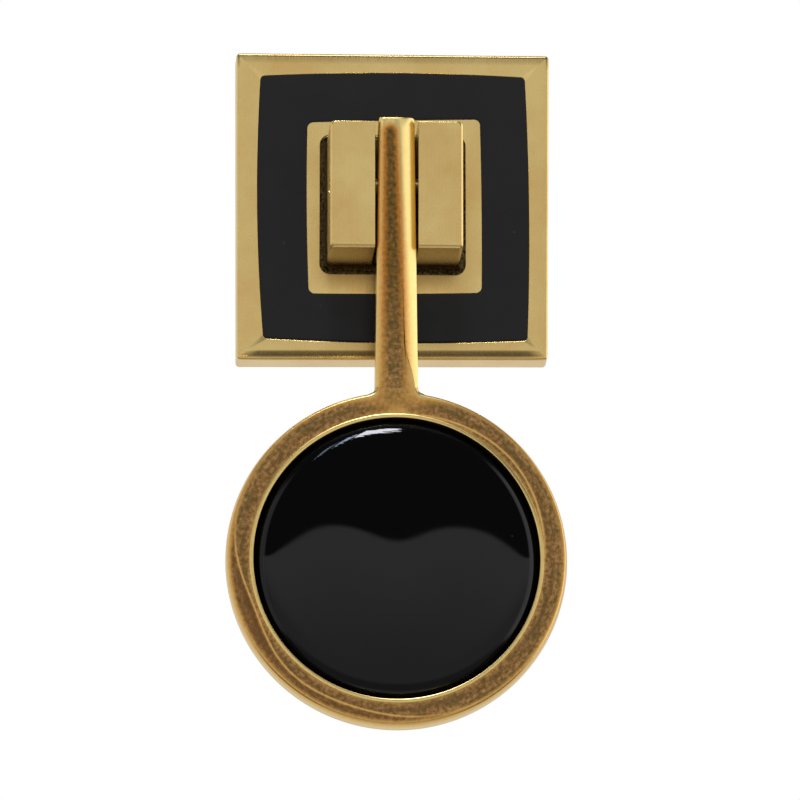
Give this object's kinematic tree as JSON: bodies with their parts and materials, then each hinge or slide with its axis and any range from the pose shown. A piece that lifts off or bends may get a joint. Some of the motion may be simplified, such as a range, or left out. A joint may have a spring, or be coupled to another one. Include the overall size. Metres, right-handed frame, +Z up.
{
  "type": "drop pull",
  "caption": "Drop pull for a drawer: a square brass back plate with black enamel inlay, a slotted pivot block and a hinged arm that carries a ring with a domed black disc.",
  "frame": {"origin": "middle of the back plate's rear face, on the fixing screw's axis", "axes": "+Z up, +Y out of the back plate's rear face into the drawer front, -Y is the way the pull faces, +X to the right as seen from the front"},
  "size_m": [0.0486, 0.043, 0.101],
  "materials": {
    "polished_brass": "polished, lightly brushed on the front faces",
    "aged_brass": "worn polish with a mottled brown patina",
    "black_enamel": "flush black enamel, satin gloss",
    "glossy_black": "high gloss black dome",
    "steel": "zinc plated"
  },
  "bodies": {
    "fixed_mount": {"back_plate": "polished_brass", "plate_enamel": "black_enamel", "pivot_block": "polished_brass", "hinge_pin": "steel", "mounting_screw": "steel", "screw_washer": "steel"},
    "pendant": {"drop_pendant": "aged_brass", "pendant_disc": "glossy_black"}
  },
  "joints": [
    {"name": "pendant_swing", "type": "hinge", "parent": "fixed_mount", "child": "pendant", "pos_m": [0, -0.01697, 0.0003], "axis": [-1, 0, 0], "range_deg": [-10, 80]}
  ]
}
